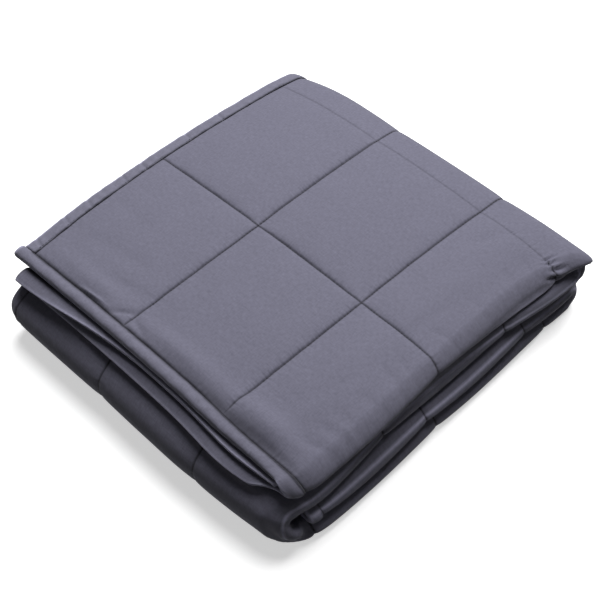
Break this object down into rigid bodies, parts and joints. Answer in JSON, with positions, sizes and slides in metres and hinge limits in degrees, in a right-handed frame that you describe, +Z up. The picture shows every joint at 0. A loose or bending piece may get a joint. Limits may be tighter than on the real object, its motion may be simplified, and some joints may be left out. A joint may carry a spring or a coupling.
{
  "type": "folded weighted blanket",
  "caption": "Quilted weighted blanket folded into a nearly square bundle of layers, with bound edges and a rounded roll at the front.",
  "frame": {"origin": "on the surface it rests on, under the middle of the folded bundle", "axes": "+Z up, +X from the back-left bound edge to the front-right folds, +Y from the front-left bound edge to the back-right folds"},
  "size_m": [0.3806, 0.4078, 0.0945],
  "materials": {
    "cover": "matt woven cotton, grey with a little violet",
    "binding": "matt woven cotton strip, the cover's colour"
  },
  "bodies": {
    "root": {"quilt": "cover", "binding_front": "binding", "binding_back": "binding", "binding_tucked": "binding", "binding_inner": "binding"}
  },
  "joints": []
}
